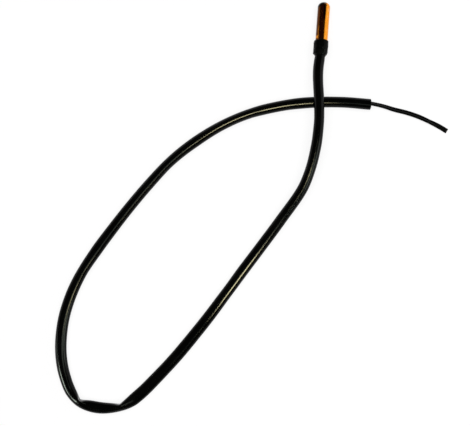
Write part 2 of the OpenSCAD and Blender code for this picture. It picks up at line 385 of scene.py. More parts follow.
def sleeve_ring(i, inset=0, back=0):
    """Ring i, inset from the outside. The last ring follows the cut, so far back from it."""
    ring = on_plane(
        sleeve_line[i], sleeve_side[i], sleeve_up[i], sleeve_section(stations[i], inset)
    )
    ahead = Vector(np.cross(sleeve_up[i], sleeve_side[i]))
    if i < last:
        return ring
    middle, side, up = Vector(sleeve_line[i]), Vector(sleeve_side[i]), Vector(sleeve_up[i])
    cut = []
    for v in ring:
        across, height = (v - middle).dot(side) / SLEEVE_R, (v - middle).dot(up)
        cut.append(v + (BOW * (1 - across * across) - SLANT * height - back) * ahead)
    return cut


outside = [sleeve_ring(i) for i in range(last)] + [sleeve_ring(last, 0, LIP)]
lip = [sleeve_ring(last, LIP), sleeve_ring(last, WALL - LIP)]
bore = [sleeve_ring(last, WALL, LIP)] + [sleeve_ring(i, WALL) for i in reversed(range(last))]
ring_at = stations + [SLEEVE_LEN] * 2 + stations[::-1]
sleeve = skin("sleeve_skin", outside + lip + bore, ring_at, 2 * math.pi * SLEEVE_R, True)
print("sleeve:", len(sleeve.data.polygons), "faces")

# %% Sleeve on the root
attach(sleeve, "root")
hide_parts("sleeve")
print("sleeve declared as a cord,", round(SLEEVE_LEN, 3), "m")

# %% [markdown]
# ## The lead
#
# The lead is a flat twin: two round cores side by side with a groove between
# them. It runs through the whole sleeve and comes out at the cut mouth. A flat
# cord doesn't bend on its edge, so it turns on its side inside the loop, and
# outside the mouth it slowly turns flat again, which is why it looks thin at
# the mouth and wide at its end. Its route is made first, from the resin in the
# probe, along the floor of the bore, and over the last seven points outside.

# %% Lead route
LEAD_W, LEAD_T = 2.2 * MM, 1.1 * MM
# How much of it the resin holds
LEAD_HELD = 3 * MM
CORE_R = LEAD_T / 2
CORE_X = (LEAD_W - LEAD_T) / 2
# Across and along in millimetres, and height as a share of the height at the mouth
LEAD_POINTS = [
    (32.5, -34.7, 0.4), (38.5, -36, 0.1), (44.5, -37, 0), (50.5, -38.5, 0),
    (56, -40.5, 0), (61, -42.5, 0), (65, -44.5, 0),
]
# How far the flat twin is turned on its side: distance in millimetres, and degrees
TURNS = [
    (0, 0), (25, 0), (110, 90), (440, 90), (475, 50), (482, 42),
    (489, 26), (501, 24), (506, 34), (511, 4), (530, 0),
]
# Past the resin it is a little fuller than its nominal size, from one distance to another
LEAD_SWELLS = (10, 40)
LEAD_FULLER = 1.12


def lead_turn(s):
    """The twin's turn, in radians, at a distance from the sleeve's start."""
    return math.radians(np.interp(s / MM, *zip(*TURNS)))


def lead_fullness(s):
    """The twin's size against its nominal size. In the resin it is exact."""
    return float(np.interp(s / MM, LEAD_SWELLS, (1, LEAD_FULLER)))


def lead_reach(s):
    """How far the turned twin reaches below its own middle."""
    return lead_fullness(s) * (CORE_R + CORE_X * math.sin(lead_turn(s)))


print("the lead turns", max(turn for at, turn in TURNS), "degrees at most")

# %% Lead inside and outside the sleeve
# It gets a place at every fifth ring, and sinks nearly to the bore's floor over 30 mm
EVERY = 5
SINKS_OVER = 30 * MM
SINKS_BY = 0.94
# The last places inside drift along: which one from the end, and how far in millimetres
DRIFT = ((4, 0.1), (3, 0.25), (2, 0.45), (1, 0.6))
# Outside, its length grows a little faster than its distance across from the mouth
MOUTH_X = SLEEVE_POINTS[-1][0]
LEN_PER_ACROSS = 1.06

lead_places = [on_axis(SLEEVE_START - LEAD_HELD), on_axis(SLEEVE_START)]
for i in range(EVERY, last, EVERY):
    s = stations[i]
    _, half_h, dent = sleeve_size(s)
    sink = (half_h - WALL - lead_reach(s)) * min(1, s / SINKS_OVER) * SINKS_BY
    low = Vector(sleeve_line[i]) - sink * Vector(sleeve_up[i])
    # A dent moves the middle of the bore by half its own depth
    lead_places.append(low - 0.5 * dent * Vector(sleeve_side[i]))
mouth_z = lead_places[-1].z
for back_by, far in DRIFT:
    lead_places[-back_by].y += far * MM
for x, y, share in LEAD_POINTS:
    s = SLEEVE_LEN + (x - MOUTH_X) * LEN_PER_ACROSS * MM
    rest = lead_reach(s)
    lead_places.append(Vector((x * MM, y * MM, rest + share * (mouth_z - rest))))
lead_curve = smooth_line(lead_places)
LEAD_LEN = float(lead_curve[1][-1])
print("lead", round(LEAD_LEN / MM, 1), "mm long, of which", len(LEAD_POINTS), "points show")

# %% Lead piece
LEAD_SIDES = 32
LEAD_STEP = 0.9 * MM
# Half the web's thickness, and how near upright a corner's direction has to be to lie on it
WEB = 0.4 * MM
ON_WEB = 0.6


def twin_section(s):
    """Corners of the two touching cores and the web between them, turned on their side."""
    turn, full = lead_turn(s), lead_fullness(s)
    corners = []
    for k in range(LEAD_SIDES):
        a = 2 * math.pi * (k + 0.5) / LEAD_SIDES
        reach = 2 * CORE_R * abs(math.cos(a))
        x, y = reach * math.cos(a), reach * math.sin(a)
        if abs(y) < WEB and abs(math.cos(a)) < ON_WEB:
            y = math.copysign(WEB, math.sin(a))
            x = y / math.tan(a)
        x, y = full * x, full * y
        corners.append(
            (x * math.cos(turn) - y * math.sin(turn), x * math.sin(turn) + y * math.cos(turn))
        )
    return corners


lead_at = np.linspace(0, LEAD_LEN, round(LEAD_LEN / LEAD_STEP))
lead_line = cut_line(lead_curve, lead_at)
lead_side, lead_up = frames(lead_line)
lead_loops = [
    on_plane(lead_line[i], lead_side[i], lead_up[i], twin_section(s - LEAD_HELD))
    for i, s in enumerate(lead_at)
]
lead = skin("lead_skin", lead_loops, lead_at, 2 * (LEAD_W + LEAD_T), False)
print("lead:", len(lead.data.polygons), "faces")

# %% [markdown]
# ## Strands in the cut end
#
# The lead is cut square, and a cut lead shows the ends of its fine copper wires.
# Each core has seven, one in the middle and six round it. One wire is made as by
# hand, from a cylinder whose end edges are bevelled, and is then copied.

# %% Strands
STRAND_R = 0.085 * MM
STRAND_LEN = 0.7 * MM
STRAND_OUT = 0.08 * MM
STRAND_EDGE = 0.015 * MM
# How many strands lie round a core's middle one, and how far from it
STRANDS_ROUND = 6
STRAND_RING = 2.1 * STRAND_R


def deselect():
    """Leaves nothing selected."""
    bpy.ops.object.select_all(action="DESELECT")


def edit_all():
    """Opens the active piece for editing, with all of it selected."""
    bpy.ops.object.mode_set(mode="EDIT")
    bpy.ops.mesh.select_all(action="SELECT")


deselect()
bpy.ops.mesh.primitive_cylinder_add(vertices=10, radius=STRAND_R, depth=STRAND_LEN)
strand = bpy.context.object
edit_all()
bpy.ops.mesh.bevel(offset=STRAND_EDGE, segments=1, affect="EDGES")
bpy.ops.object.mode_set(mode="OBJECT")
print("one strand:", len(strand.data.polygons), "faces")

# %% Strands in both cores
end_place = Vector(lead_line[-1])
end_out = (end_place - Vector(lead_line[-2])).normalized()
end_side, end_up = Vector(lead_side[-1]), Vector(lead_up[-1])
facing = Matrix((end_side, end_up, end_out)).transposed().to_4x4()
strands = []
for core in (-1, 1):
    for k in range(STRANDS_ROUND + 1):
        ring = 0 if k == STRANDS_ROUND else STRAND_RING
        turn = 2 * math.pi * k / STRANDS_ROUND
        across = core * CORE_X * lead_fullness(SLEEVE_LEN) + ring * math.cos(turn)
        copy = strand.copy()
        copy.data = strand.data.copy()
        bpy.context.scene.collection.objects.link(copy)
        middle = end_place + across * end_side + ring * math.sin(turn) * end_up
        middle += (STRAND_OUT - STRAND_LEN / 2) * end_out
        copy.matrix_world = Matrix.Translation(middle) @ facing
        strands.append(copy)
bpy.data.objects.remove(strand)
deselect()
for piece in strands:
    piece.select_set(True)
bpy.context.view_layer.objects.active = strands[0]
bpy.ops.object.join()
bpy.ops.object.transform_apply(location=True, rotation=True, scale=True)
strands = bpy.context.object
strands.name = strands.data.name = "lead_strands"
print("strands:", len(strands.data.polygons), "faces")

# %% Lead pieces on the root
for piece, slot in ((lead, "lead_plastic"), (strands, "bare_conductor")):
    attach(piece, "root")
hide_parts("lead")
print("lead declared as a cord,", round(LEAD_LEN, 3), "m")

# %% [markdown]
# ## Turned pieces
#
# The copper tube and the collar are round, so each is a profile turned about the
# probe's axis. By hand this is one vertex that is extruded from point to point
# and then spun. A cylinder could be cut up instead, but a profile shows every
# size at once. The profile is a list of points: radius, and distance behind the
# tip. The piece is turned about the world's upright axis and then laid in place.

# %% Lathe helper
PROBE = Matrix((
    (1, 0, 0, TIP.x),
    (0, math.sin(TILT), -math.cos(TILT), TIP.y),
    (0, math.cos(TILT), math.sin(TILT), TIP.z),
    (0, 0, 0, 1),
))
# Corners closer than this are one, and edges sharper than this stay sharp
MERGE = 0.0005 * MM
SHARP = math.radians(40)


def lathe(name, profile, steps):
    """Spins a profile of (radius, back) in millimetres. A closed profile gives a wall."""
    deselect()
    bpy.ops.mesh.primitive_plane_add(size=MM)
    piece = bpy.context.object
    piece.name = piece.data.name = name
    edit_all()
    bpy.ops.mesh.merge(type="CENTER")
    here = (0, 0)
    for radius, back in profile:
        move = ((radius - here[0]) * MM, 0, (back - here[1]) * MM)
        if here == (0, 0):
            bpy.ops.transform.translate(value=move)
        else:
            bpy.ops.mesh.extrude_region_move(TRANSFORM_OT_translate={"value": move})
        here = (radius, back)
    bpy.ops.mesh.select_all(action="SELECT")
    bpy.ops.mesh.spin(
        steps=steps, angle=2 * math.pi, center=(0, 0, 0), axis=(0, 0, 1), use_auto_merge=True
    )
    bpy.ops.mesh.select_all(action="SELECT")
    bpy.ops.mesh.remove_doubles(threshold=MERGE)
    bpy.ops.mesh.normals_make_consistent(inside=False)
    bpy.ops.object.mode_set(mode="OBJECT")
    bpy.ops.object.shade_smooth_by_angle(angle=SHARP)
    return piece


print("probe axis leans", round(math.degrees(TILT), 1), "degrees")

# %% Helpers for turned pieces


def lay_on_probe(piece):
    """Puts a turned piece on the probe's axis, with its place in its mesh."""
    piece.matrix_world = PROBE
    deselect()
    piece.select_set(True)
    bpy.context.view_layer.objects.active = piece
    bpy.ops.object.transform_apply(location=True, rotation=True, scale=True)


def arc(middle, radius, start, stop, count):
    """Points of an arc in a profile, from one angle to another, in degrees."""
    angles = np.radians(np.linspace(start, stop, count))
    return [(middle[0] + radius * math.cos(a), middle[1] + radius * math.sin(a)) for a in angles]


print("turned pieces are laid on the axis at", [round(c / MM, 1) for c in TIP], "mm")

# %% [markdown]
# ## The copper tube
#
# The real tube is drawn from a copper cup, so its closed end is a soft dome and
# its wall is thin. Near the open end a roller has pressed a groove, which stops
# the sleeve inside. The profile goes down the outside and back up the inside.

# %% Copper tube
# All in millimetres
TUBE_R, TUBE_WALL, TUBE_END = 3, 0.4, 0.6
TUBE_LEN, DOME_R = 25, 2.6
GROOVE_AT, ROLLER_R, GROOVE_DEEP = 19.5886, 0.6, 0.25
# The open end's edges are broken by this much
EDGE = 0.08
roller = (TUBE_R + ROLLER_R - GROOVE_DEEP, GROOVE_AT)
bore_r = TUBE_R - TUBE_WALL
half_groove = math.degrees(math.acos((ROLLER_R - GROOVE_DEEP) / ROLLER_R))
bump_r = ROLLER_R + TUBE_WALL
half_bump = math.degrees(math.acos((bump_r - GROOVE_DEEP) / bump_r))
flat = TUBE_R - DOME_R
inner_dome = DOME_R - TUBE_WALL

outside = [(0, 0)] + arc((flat, DOME_R), DOME_R, -90, 0, count=17)
outside += [(TUBE_R, back) for back in np.linspace(DOME_R + 1, GROOVE_AT - 1, 12)]
outside += arc(roller, ROLLER_R, 180 + half_groove, 180 - half_groove, count=9)
outside += [(TUBE_R, TUBE_LEN - EDGE), (TUBE_R - EDGE, TUBE_LEN)]
inside = [(bore_r + EDGE, TUBE_LEN), (bore_r, TUBE_LEN - EDGE)]
inside += arc(roller, bump_r, 180 - half_bump, 180 + half_bump, count=9)
inside += arc((flat, TUBE_END + inner_dome), inner_dome, 0, -90, count=9) + [(0, TUBE_END)]
copper_tube = lathe("copper_tube", outside + inside, steps=96)
lay_on_probe(copper_tube)
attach(copper_tube, "root")
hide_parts("probe_tube")
print("copper tube:", len(copper_tube.data.polygons), "faces")

# %% [markdown]
# ## The shrunk collar
#
# The collar is a short tube of plastic that was shrunk with hot air. It grips
# the copper, swells to a soft lip in front and draws in behind the copper's end
# to grip the sleeve. Hot air never shrinks it evenly, so after turning, its
# points are moved a little in code: low waves, a fuller left side, a lip and a
# shoulder that lie further forward on top, and one slanting crease. The crease
# could be cut in by hand, but a valley with a ridge beside it is two lines of
# arithmetic and stays soft.

# %% Collar profile
# All in millimetres
LIP_R, LIP_ARC, GRIP_R, TAIL_R = 3.5, 0.4, 3.4, 2.75
COLLAR_START, SHOULDER, COLLAR_END, GAP = 19.2012, 1.3, HEAD_LEN / MM, 0.05
SLEEVE_BORE_R = SLEEVE_R / MM + GAP
# The tail's edge is broken by this much
TAIL_EDGE = 0.05

profile = arc((LIP_R - LIP_ARC, COLLAR_START + LIP_ARC), LIP_ARC, -90, 0, count=6)
grip = np.linspace(COLLAR_START + LIP_ARC, TUBE_LEN, 40)[1:]
profile += [(np.interp(b, [grip[0], TUBE_LEN], [LIP_R, GRIP_R]), b) for b in grip]
for a in np.radians(np.linspace(90, 0, 14))[1:]:
    profile.append((TAIL_R + (GRIP_R - TAIL_R) * math.sin(a), TUBE_LEN + SHOULDER * math.cos(a)))
profile += [
    (TAIL_R, COLLAR_END - TAIL_EDGE), (TAIL_R - TAIL_EDGE, COLLAR_END),
    (SLEEVE_BORE_R, COLLAR_END), (SLEEVE_BORE_R, TUBE_LEN + GAP),
    (TUBE_R + GAP, TUBE_LEN + GAP), (TUBE_R + GAP, COLLAR_START),
]
profile.append(profile[0])
collar = lathe("shrunk_collar", profile, steps=160)
print("collar:", len(collar.data.polygons), "faces")

# %% Collar crease
# All in millimetres. The crease runs between two points (across, back) on the upper
# side, as a valley with a ridge behind its first part
CREASE = ((0.7, 23.6), (3.1, 24.9))
VALLEY_DEEP, VALLEY_WIDE = 0.32, 0.2
RIDGE_HIGH, RIDGE_WIDE, RIDGE_BEHIND = 0.4, 0.3, 0.5
# Where it fades: in from its start, out past its end, its ridge along it, and on top
FADES_IN, FADES_OUT, RIDGE_FADES, UPPER_SIDE = (-0.5, 0.4), (0, 0.6), (0.8, 2), (-0.3, 0.6)


def ease(value, low, high):
    """0 below low, 1 above high, and a smooth rise between them."""
    t = min(1, max(0, (value - low) / (high - low)))
    return t * t * (3 - 2 * t)


crease_x, crease_back = CREASE[1][0] - CREASE[0][0], CREASE[1][1] - CREASE[0][1]
crease_len = math.hypot(crease_x, crease_back)


def crease_lift(x, y, back):
    """A valley along the crease and a soft ridge behind it, in millimetres."""
    from_x, from_back = x - CREASE[0][0], back - CREASE[0][1]
    along = (from_x * crease_x + from_back * crease_back) / crease_len
    away = (from_back * crease_x - from_x * crease_back) / crease_len
    starts = ease(along, *FADES_IN)
    ends = 1 - ease(along - crease_len, *FADES_OUT)
    on_top = ease(y, *UPPER_SIDE)
    valley = -VALLEY_DEEP * math.exp(-((away / VALLEY_WIDE) ** 2))
    ridge = RIDGE_HIGH * math.exp(-(((away - RIDGE_BEHIND) / RIDGE_WIDE) ** 2))
    return starts * ends * on_top * (valley + ridge * (1 - ease(along, *RIDGE_FADES)))


print("the crease is", round(crease_len, 1), "mm long")

# %% Collar shaping
# All in millimetres: how far the shoulder and the lip lie forward on top, and how much
# fuller the left side is
SHOULDER_AHEAD, LIP_AHEAD, LEFT_FULLER = 0.6, 0.4, 0.28
# How far round from the top each lies furthest forward, in radians to the left
SHOULDER_TURN, LIP_TURN = 0.3, -0.15
# Two low waves: height, how many round the collar, and their twist in radians a millimetre
WAVES = ((0.035, 3, 0.9), (0.02, 7, -1.7))
# Points this far outside the bore move in full
SKIN_DEEP = 0.2
# Distances behind the tip over which each change fades in or out
SHOULDER_FROM, SHOULDER_TO = (22, 25), (25.2, 26.2)
LIP_OVER, LEFT_OVER = (COLLAR_START, 21), (COLLAR_START, 20.8)
TAIL_OVER = (TUBE_LEN, TUBE_LEN + 0.6)

for v in collar.data.vertices:
    radius = math.hypot(v.co.x, v.co.y) / MM
    back, turn = v.co.z / MM, math.atan2(v.co.y, v.co.x)
    outer = ease(radius, TUBE_R + GAP, TUBE_R + GAP + SKIN_DEEP)
    waves = sum(high * math.sin(many * turn + twist * back) for high, many, twist in WAVES)
    fuller = LEFT_FULLER * max(0, -math.cos(turn)) ** 1.5 * ease(back, *LEFT_OVER)
    lift = crease_lift(v.co.x / MM, v.co.y / MM, back)
    grown = (radius + outer * (waves + fuller + lift)) / radius
    v.co.x *= grown
    v.co.y *= grown
    # The tail follows the sleeve's own swing
    v.co.x -= nudge(back * MM - SLEEVE_START) * ease(back, *TAIL_OVER)
    if outer > 0:
        early = SHOULDER_AHEAD * max(0, math.sin(turn - SHOULDER_TURN)) ** 2
        early *= ease(back, *SHOULDER_FROM) * (1 - ease(back, *SHOULDER_TO))
        v.co.z -= early * outer * MM
    ahead = LIP_AHEAD * max(0, math.sin(turn - LIP_TURN)) ** 2
    v.co.z -= ahead * MM * (1 - ease(back, *LIP_OVER))
lay_on_probe(collar)
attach(collar, "root")
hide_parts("collar")
print("collar shaped:", len(collar.data.vertices), "points")

# %% [markdown]
# ## Finishes
#
# Each finish is a Principled shader whose colour, roughness and bump come from
# noise. Two effects are used by several finishes, so each is a node group that
# is built once: handling marks, which are patches and fine scratches that break
# up a gloss, and drawn lines, which run along anything that was pulled or pushed
# through a die. A group gives out only masks, and each finish decides what they
# do to it.

# %% Node helpers


def connect(tree, made, inputs):
    """Gives a node its inputs: values or sockets, by name with _ for a space, or as _0."""
    for name, value in inputs.items():
        key = int(name[1:]) if name[1:].isdigit() else name.replace("_", " ")
        if isinstance(value, bpy.types.NodeSocket):
            tree.links.new(value, made.inputs[key])
        else:
            made.inputs[key].default_value = value


def node(tree, kind, **inputs):
    """Adds a node with its inputs."""
    made = tree.nodes.new(kind)
    connect(tree, made, inputs)
    return made


def new_group(name, inputs, outputs):
    """A shader node group whose outputs are floats."""
    tree = bpy.data.node_groups.new(name, "ShaderNodeTree")
    for title, kind in inputs:
        tree.interface.new_socket(title, in_out="INPUT", socket_type=kind)
    for title in outputs:
        tree.interface.new_socket(title, in_out="OUTPUT", socket_type="NodeSocketFloat")
    given = tree.nodes.new("NodeGroupInput").outputs
    return tree, given, tree.nodes.new("NodeGroupOutput").inputs


print("node helpers ready")

# %% Pattern helpers


def stretched(tree, vector, by):
    """A vector multiplied by another, part by part."""
    made = node(tree, "ShaderNodeVectorMath", _0=vector, _1=by)
    made.operation = "MULTIPLY"
    return made.outputs[0]


def noise(tree, vector, scale, **more):
    """A noise from 0 to 1."""
    made = node(tree, "ShaderNodeTexNoise", Vector=vector, Scale=scale, **more)
    return made.outputs["Fac"]


def ramp(tree, factor, *stops):
    """A ramp from a factor to a grey level, with stops of (position, grey)."""
    made = node(tree, "ShaderNodeValToRGB", Fac=factor)
    elements = made.color_ramp.elements
    while len(elements) < len(stops):
        elements.new(0.5)
    for element, (position, grey) in zip(elements, stops):
        element.position = position
        element.color = (grey, grey, grey, 1)
    return made.outputs["Color"]


print("pattern helpers ready")

# %% Handling marks group
marks_group, given, result = new_group(
    "handling marks",
    [("Vector", "NodeSocketVector"), ("Size", "NodeSocketFloat"), ("Stretch", "NodeSocketVector")],
    ["Patches", "Scratches"],
)
broad = noise(marks_group, given["Vector"], given["Size"], Detail=4, Roughness=0.6)
patches = ramp(marks_group, broad, (0.42, 0), (0.66, 1))
marks_group.links.new(patches, result["Patches"])
pulled = stretched(marks_group, given["Vector"], given["Stretch"])
fine = noise(marks_group, pulled, given["Size"], Detail=3, Roughness=0.75, Distortion=0.4)
scratches = ramp(marks_group, fine, (0.56, 0), (0.66, 1))
marks_group.links.new(scratches, result["Scratches"])
print("group:", marks_group.name)

# %% Drawn lines group
lines_group, given, result = new_group(
    "drawn lines",
    [("Vector", "NodeSocketVector"), ("Stretch", "NodeSocketVector")],
    ["Broad", "Fine"],
)
pulled = stretched(lines_group, given["Vector"], given["Stretch"])
for title, scale, detail in (("Broad", 1, 2), ("Fine", 3.1, 4)):
    mask = noise(lines_group, pulled, scale, Detail=detail, Roughness=0.6)
    lines_group.links.new(mask, result[title])
print("group:", lines_group.name)

# %% Blending helpers


def maths(tree, operation, a, b):
    """A sum, product or the like of two values or sockets."""
    made = node(tree, "ShaderNodeMath", _0=a, _1=b)
    made.operation = operation
    return made.outputs[0]


def weighted(tree, base, *terms):
    """A number plus some sockets, each times its own weight."""
    for socket, weight in terms:
        base = maths(tree, "ADD", maths(tree, "MULTIPLY", socket, weight), base)
    return base


def blend_colour(tree, factor, a, b):
    """Colour a where the factor is 0, and colour b where it is 1."""
    made = tree.nodes.new("ShaderNodeMix")
    made.data_type = "RGBA"
    a, b = [(*c, 1) if isinstance(c, tuple) else c for c in (a, b)]
    connect(tree, made, {"_0": factor, "_6": a, "_7": b})
    return made.outputs[2]


print("blending helpers ready")

# %% Finish helpers


def new_finish(name, **fixed):
    """A material with a Principled shader. Fixed values go on the shader's own sockets."""
    material = bpy.data.materials.new(name)
    material.use_nodes = True
    tree = material.node_tree
    connect(tree, tree.nodes["Principled BSDF"], fixed)
    return material, tree


def shade(tree, tone, dull, normal):
    """Gives a finish's shader its colour, roughness and normal."""
    shader = tree.nodes["Principled BSDF"]
    connect(tree, shader, {"Base Color": tone, "Roughness": dull, "Normal": normal})


def place(tree, group, **inputs):
    """Places a group in a material and gives back its masks."""
    made = node(tree, "ShaderNodeGroup")
    made.node_tree = group
    connect(tree, made, inputs)
    return made.outputs


def bump(tree, height, strength, depth):
    """A normal from a height, with the depth in metres."""
    made = node(tree, "ShaderNodeBump", Height=height, Strength=strength, Distance=depth)
    return made.outputs[0]


def along_map(tree):
    """The piece's own map, which runs along and round it."""
    made = node(tree, "ShaderNodeUVMap")
    made.uv_map = "along_and_round"
    return made.outputs[0]


def dress(piece, material):
    """Gives a piece one material in place of any that it has."""
    piece.data.materials.clear()
    piece.data.materials.append(material)


print("finish helpers ready")

# %% [markdown]
# ## Black sleeve plastic
#
# Soft extruded plastic is very dark and glossy. The die leaves faint lines along
# it, and handling leaves duller patches. The reflection is kept lower than that
# of glass, because a soft black plastic shows only its brightest surroundings.

# %% Sleeve finish
sleeve_finish, tree = new_finish("glossy black sleeve", Specular_IOR_Level=0.11)
along = along_map(tree)
marks = place(tree, marks_group, Vector=along, Size=9.0, Stretch=(4, 60, 1))
lines = place(tree, lines_group, Vector=along, Stretch=(3, 260, 1))
tone = blend_colour(tree, marks["Patches"], (0.0007, 0.0008, 0.0007), (0.0016, 0.0017, 0.0015))
dull = weighted(tree, 0.15, (marks["Patches"], 0.006), (marks["Scratches"], 0.012))
shade(tree, tone, dull, bump(tree, lines["Broad"], 0.2, 0.005 * MM))
dress(sleeve, sleeve_finish)
print("finish:", sleeve_finish.name)

# %% [markdown]
# ## Lead insulation
#
# The lead's insulation is a harder plastic with less gloss. It has the same
# lines along it, and fine dust dulls it in patches.

# %% Lead finish
lead_finish, tree = new_finish("satin black lead", Specular_IOR_Level=0.11)
along = along_map(tree)
marks = place(tree, marks_group, Vector=along, Size=22.0, Stretch=(6, 40, 1))
lines = place(tree, lines_group, Vector=along, Stretch=(4, 420, 1))
tone = blend_colour(tree, marks["Patches"], (0.0009, 0.0009, 0.0009), (0.002, 0.002, 0.0018))
dull = weighted(tree, 0.2, (marks["Patches"], 0.1))
shade(tree, tone, dull, bump(tree, lines["Broad"], 0.3, 0.02 * MM))
dress(lead, lead_finish)
print("finish:", lead_finish.name)

# %% [markdown]
# ## Drawn copper
# Copper that was drawn through a die is bright, with lines along it. Where it
# has been handled it has tarnished, which is darker and browner, in patches that
# are also pulled out along the tube. A Mapping node turns the pattern into the
# probe's own direction, because the probe leans. The colour also holds painted
# dark reflections: brown on the left side, weaker in a gap by the collar, and
# black on the tip and on the top behind it. They could be painted on as an
# image, but masks made from the place on the tube keep their edge sharp at any
# distance, and the drawn lines make that edge run out in streaks.

# %% Copper finish
copper_finish, tree = new_finish("drawn copper", Metallic=1.0)
where = node(tree, "ShaderNodeTexCoord").outputs["Object"]
turned = node(tree, "ShaderNodeMapping", Vector=where, Location=TIP, Rotation=PROBE.to_euler())
turned.vector_type = "TEXTURE"
on_probe = turned.outputs[0]
lines = place(tree, lines_group, Vector=on_probe, Stretch=(1500, 1500, 60))
marks = place(tree, marks_group, Vector=on_probe, Size=420.0, Stretch=(2.5, 2.5, 0.35))
tarnish = maths(tree, "MULTIPLY", marks["Scratches"], 0.75)
tone = blend_colour(tree, tarnish, (0.95, 0.335, 0.02), (0.66, 0.21, 0.015))
drawn = ramp(tree, lines["Fine"], (0.35, 0.3), (0.6, 0))
tone = blend_colour(tree, drawn, tone, (0.75, 0.28, 0.04))
print("copper: clean metal and tarnish")

# %% Copper painted dark reflections
# The place across, which is 1 at the left edge, and behind the tip, in lengths of 20 mm
spot = node(tree, "ShaderNodeSeparateXYZ", Vector=on_probe).outputs
leftness = maths(tree, "MULTIPLY", spot["X"], -1 / (TUBE_R * MM))
behind = maths(tree, "MULTIPLY", spot["Z"], 1 / (20 * MM))
streaks = weighted(tree, -0.55, (lines["Broad"], 1.1))

# Painted dark reflection: brown on the left side, weaker in a gap by the collar
flank = ramp(tree, maths(tree, "ADD", leftness, streaks), (0.44, 0), (0.62, 1))
reflection_gap = ramp(tree, behind, (0.84, 1), (0.87, 0.4), (0.91, 0.4), (0.93, 1))
brown = blend_colour(tree, lines["Fine"], (0.05, 0.012, 0.001), (0.13, 0.036, 0.004))
tone = blend_colour(tree, maths(tree, "MULTIPLY", flank, reflection_gap), tone, brown)

# Painted dark reflection: black on the tip's left side, and in a streak on top behind it
tipness = weighted(tree, 1, (leftness, 1), (behind, -10), (streaks, 1))
painted_dark_tip = ramp(tree, tipness, (0.3, 0), (0.48, 1))
across = weighted(tree, 0.5, (leftness, -0.5), (streaks, 0.15))
painted_dark_streak = ramp(tree, across, (0.42, 0), (0.48, 0.85), (0.68, 0.85), (0.7, 0))
near_tip = ramp(tree, behind, (0.33, 1), (0.5, 0))
black = maths(tree, "MAXIMUM", painted_dark_tip, maths(tree, "MULTIPLY", painted_dark_streak, near_tip))
tone = blend_colour(tree, black, tone, (0.004, 0.0015, 0.0008))
# The copper's colour now holds painted dark reflections on its left side and its tip
print("copper: painted_reflection on the left flank and the tip")

# %% Copper painted highlight specks and shine
# Painted highlights: a few pale specks on the lit right side, drawn out along the tube
drawn_out = stretched(tree, on_probe, (1800, 1800, 380))
painted_specks = ramp(tree, noise(tree, drawn_out, 1, Detail=1), (0.6, 0), (0.66, 0.6))
lit_right_side = ramp(tree, maths(tree, "MULTIPLY", leftness, -1), (0.45, 0), (0.55, 1))
painted_specks = maths(tree, "MULTIPLY", painted_specks, lit_right_side)
tone = blend_colour(tree, painted_specks, tone, (1, 0.62, 0.3))
dull = weighted(tree, 0.1, (lines["Broad"], 0.1), (tarnish, 0.15))
shade(tree, tone, dull, bump(tree, lines["Broad"], 0.35, 0.03 * MM))
dress(copper_tube, copper_finish)
print("finish:", copper_finish.name)

# %% [markdown]
# ## Shrunk collar plastic
#
# Shrunk plastic has a satin skin with a very fine grain and a few rub marks.

# %% Collar finish
collar_finish, tree = new_finish("satin shrunk plastic", Specular_IOR_Level=0.05)
where = node(tree, "ShaderNodeTexCoord").outputs["Object"]
marks = place(tree, marks_group, Vector=where, Size=300.0, Stretch=(3, 1, 3))
grain = noise(tree, where, 2200, Detail=3)
tone = blend_colour(tree, marks["Patches"], (0.0011, 0.0013, 0.0011), (0.0026, 0.0028, 0.0024))
dull = weighted(tree, 0.24, (marks["Scratches"], 0.1))
shade(tree, tone, dull, bump(tree, grain, 0.25, 0.03 * MM))
dress(collar, collar_finish)
print("finish:", collar_finish.name)

# %% [markdown]
# ## Pieces inside the probe
#
# The thermistor, its splices and the resin are seen only when the tube is taken
# off. Their CAD shapes are right, so they stay. One helper makes their finishes,
# which differ only in colour, shine and grain.

# %% Inner finishes


def plain_finish(name, light, dark, roughness, grain_size, depth, metal):
    """A finish with two tones in patches and a fine grain, so deep in millimetres."""
    material, tree = new_finish(name, Metallic=metal)
    where = node(tree, "ShaderNodeTexCoord").outputs["Object"]
    marks = place(tree, marks_group, Vector=where, Size=grain_size / 4, Stretch=(1, 4, 4))
    grain = noise(tree, where, grain_size, Detail=3)
    tone = blend_colour(tree, marks["Patches"], light, dark)
    dull = weighted(tree, roughness, (marks["Scratches"], 0.12))
    shade(tree, tone, dull, bump(tree, grain, 0.3, depth * MM))
    return material


# For the CAD names that begin so: the finish, its light and dark tone, its roughness, the
# grains in a metre and their depth, and 1 for a metal
INNER = [
    ("conductor", "bare copper strands", (0.9, 0.42, 0.2), (0.7, 0.3, 0.14), 0.25, 5000, 0.02, 1),
    ("thermistor_bead", "dipped coating",
     (0.03, 0.04, 0.06), (0.02, 0.026, 0.04), 0.18, 1500, 0.02, 0),
    ("thermistor_chip", "sintered ceramic",
     (0.12, 0.12, 0.13), (0.2, 0.2, 0.2), 0.6, 9000, 0.01, 0),
    ("thermistor_leg", "tinned wire", (0.72, 0.73, 0.75), (0.6, 0.61, 0.64), 0.22, 6000, 0.01, 1),
    ("splice_barrel", "tinned brass", (0.62, 0.6, 0.52), (0.55, 0.5, 0.38), 0.3, 4000, 0.01, 1),
    ("splice_cover", "white insulating tube",
     (0.8, 0.79, 0.74), (0.7, 0.68, 0.6), 0.45, 3000, 0.01, 0),
    ("potting", "dark potting resin",
     (0.05, 0.03, 0.015), (0.08, 0.05, 0.025), 0.3, 1200, 0.03, 0),
]
inner_finishes = {begins: plain_finish(*row) for begins, *row in INNER}
dress(strands, inner_finishes["conductor"])
for name, finish in inner_finishes.items():
    for cad_name, cad_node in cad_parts.items():
        if cad_name.startswith(name):
            for cad_slot in cad_node.material_slots:
                cad_slot.material = finish
print("inner finishes:", len(inner_finishes))

